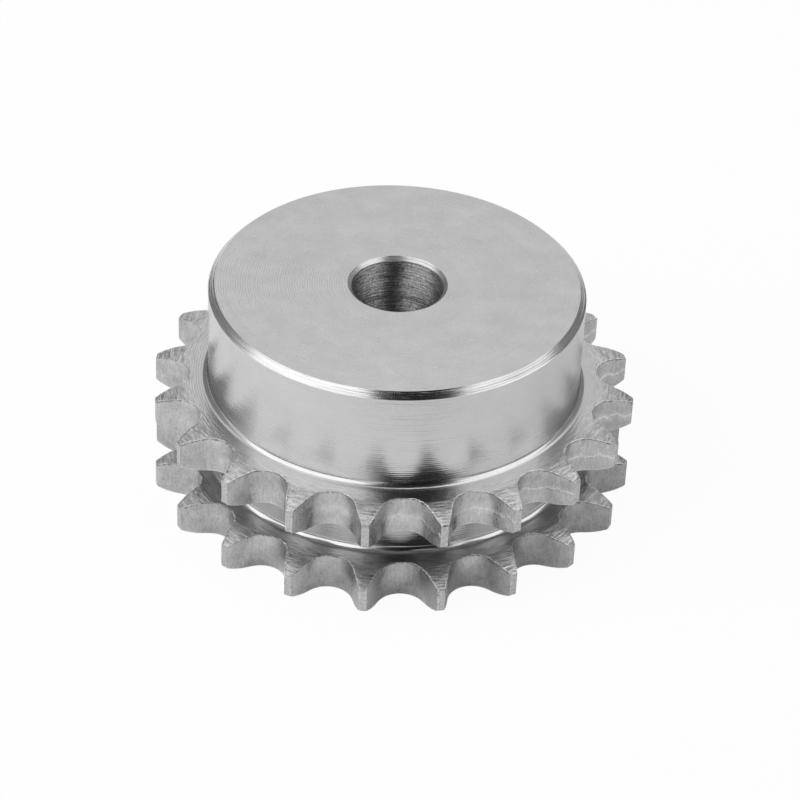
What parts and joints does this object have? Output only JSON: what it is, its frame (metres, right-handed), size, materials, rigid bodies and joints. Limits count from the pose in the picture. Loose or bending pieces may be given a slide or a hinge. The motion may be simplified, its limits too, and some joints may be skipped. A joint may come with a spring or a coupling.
{
  "type": "duplex chain sprocket",
  "caption": "One-piece steel chain sprocket with two toothed rings for a two-strand roller chain, a plain hub on one side and a round pilot bore through the middle.",
  "frame": {"origin": "centre of the lower toothed ring's outer face, on the bore axis, where the sprocket stands", "axes": "+Z along the bore axis, from the toothed rings towards the hub's end face; +X and +Y each point through the middle of a tooth gap"},
  "size_m": [0.0846, 0.0846, 0.04],
  "materials": {
    "machined_steel": "turned and hobbed bare steel, satin with fine tool marks"
  },
  "bodies": {
    "root": {"duplex_sprocket": "machined_steel"}
  },
  "joints": []
}
